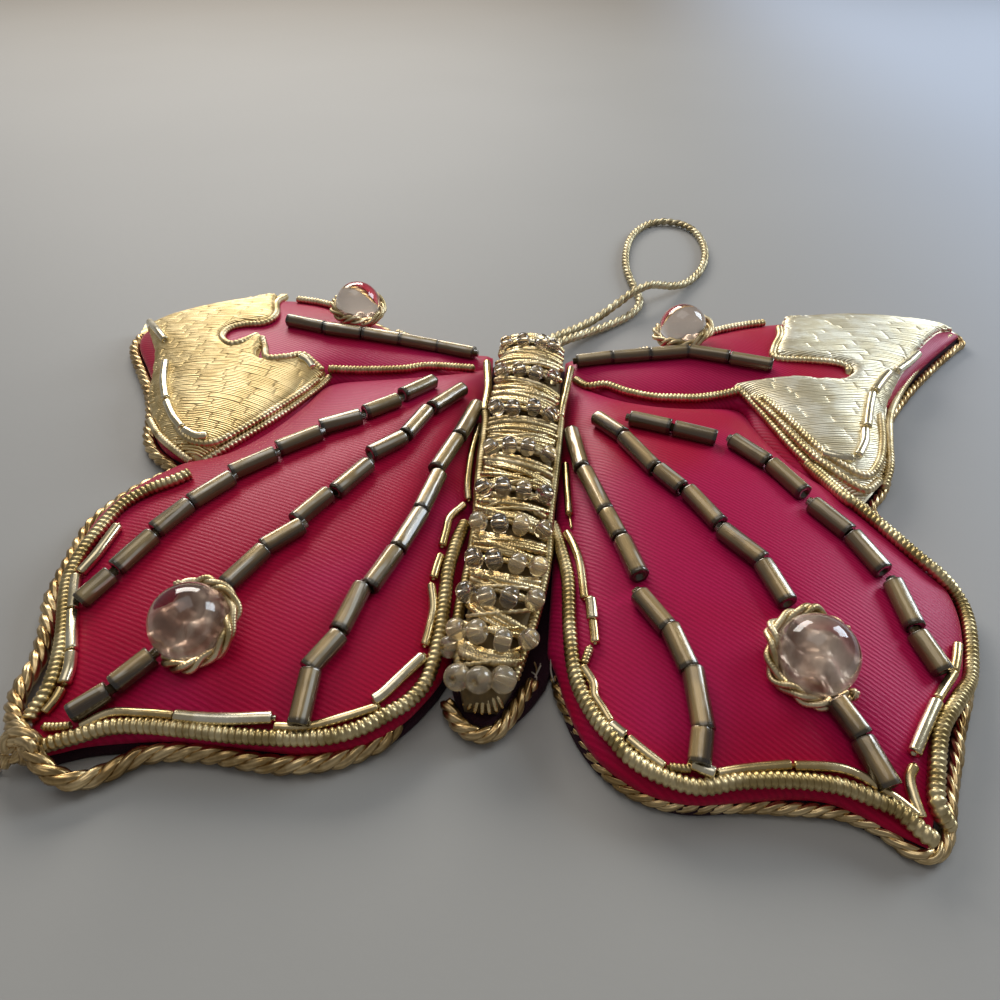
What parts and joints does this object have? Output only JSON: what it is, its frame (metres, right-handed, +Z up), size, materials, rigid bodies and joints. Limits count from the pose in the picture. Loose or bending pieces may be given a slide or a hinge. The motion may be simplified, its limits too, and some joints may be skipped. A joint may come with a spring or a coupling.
{
  "type": "butterfly ornament",
  "caption": "Padded satin butterfly ornament with gold purl, bugle and glass beads, woven gold wing tips and a hanging loop of twisted cord; lies flat or hangs",
  "frame": {"origin": "centre of the underside of the butterfly's box, hanging loop left out", "axes": "+X to the butterfly's right wing as seen from above with the head away, +Y from tail to head, +Z up off the table"},
  "size_m": [0.152, 0.1559, 0.0124],
  "materials": {
    "velvet": "short dark velvet pile",
    "card": "stiff board, stands in for card",
    "wadding": "soft white wadding",
    "satin": "satin weave with a soft sheen",
    "gold_purl": "fine coiled gilt wire",
    "gold_cord": "twisted gilt thread",
    "gold_weave": "basket-woven gilt thread",
    "bugle_glass": "silver-lined glass",
    "seed_glass": "frosted glass",
    "clear_glass": "polished glass"
  },
  "bodies": {
    "butterfly": {"back_panel": "velvet", "body_border_left": "gold_purl", "body_border_right": "gold_purl", "body_core": "gold_purl", "body_seeds": "seed_glass", "body_strands": "gold_purl", "division_purl_left": "gold_purl", "division_purl_right": "gold_purl", "edge_cord_left": "gold_cord", "edge_cord_right": "gold_cord", "fore_front_bugles_left": "bugle_glass", "fore_front_bugles_right": "bugle_glass", "fore_gem_left": "clear_glass", "fore_gem_right": "clear_glass", "fore_gem_setting_left": "gold_purl", "fore_gem_setting_right": "gold_purl", "fore_left_padding": "wadding", "fore_left_satin": "satin", "fore_right_padding": "wadding", "fore_right_satin": "satin", "front_purl_left": "gold_purl", "front_purl_right": "gold_purl", "head_wraps": "gold_purl", "hem_purl_left": "gold_purl", "hem_purl_right": "gold_purl", "hind_gem_left": "clear_glass", "hind_gem_right": "clear_glass", "hind_gem_setting_left": "gold_purl", "hind_gem_setting_right": "gold_purl", "hind_inner_bugles_left": "bugle_glass", "hind_inner_bugles_right": "bugle_glass", "hind_left_padding": "wadding", "hind_left_satin": "satin", "hind_middle_bugles_left": "bugle_glass", "hind_middle_bugles_right": "bugle_glass", "hind_outer_bugles_left": "bugle_glass", "hind_outer_bugles_right": "bugle_glass", "hind_right_padding": "wadding", "hind_right_satin": "satin", "loop_stitch": "gold_cord", "patch_accent_left": "gold_purl", "patch_accent_right": "gold_purl", "patch_border_left": "gold_purl", "patch_border_right": "gold_purl", "rim_purl_left": "gold_purl", "rim_purl_right": "gold_purl", "stiffener_card": "card", "tail_beads": "seed_glass", "tail_cord": "gold_cord", "tail_fan": "gold_purl", "thin_purls_left": "gold_purl", "thin_purls_right": "gold_purl", "tip_patch_left": "gold_weave", "tip_patch_right": "gold_weave"},
    "loop": {"hanging_loop": "gold_cord"}
  },
  "joints": [
    {"name": "loop_swing", "type": "hinge", "parent": "butterfly", "child": "loop", "pos_m": [-0.0022, 0.0314, 0.0036], "axis": [1, 0, 0], "range_deg": [0, 90]}
  ]
}
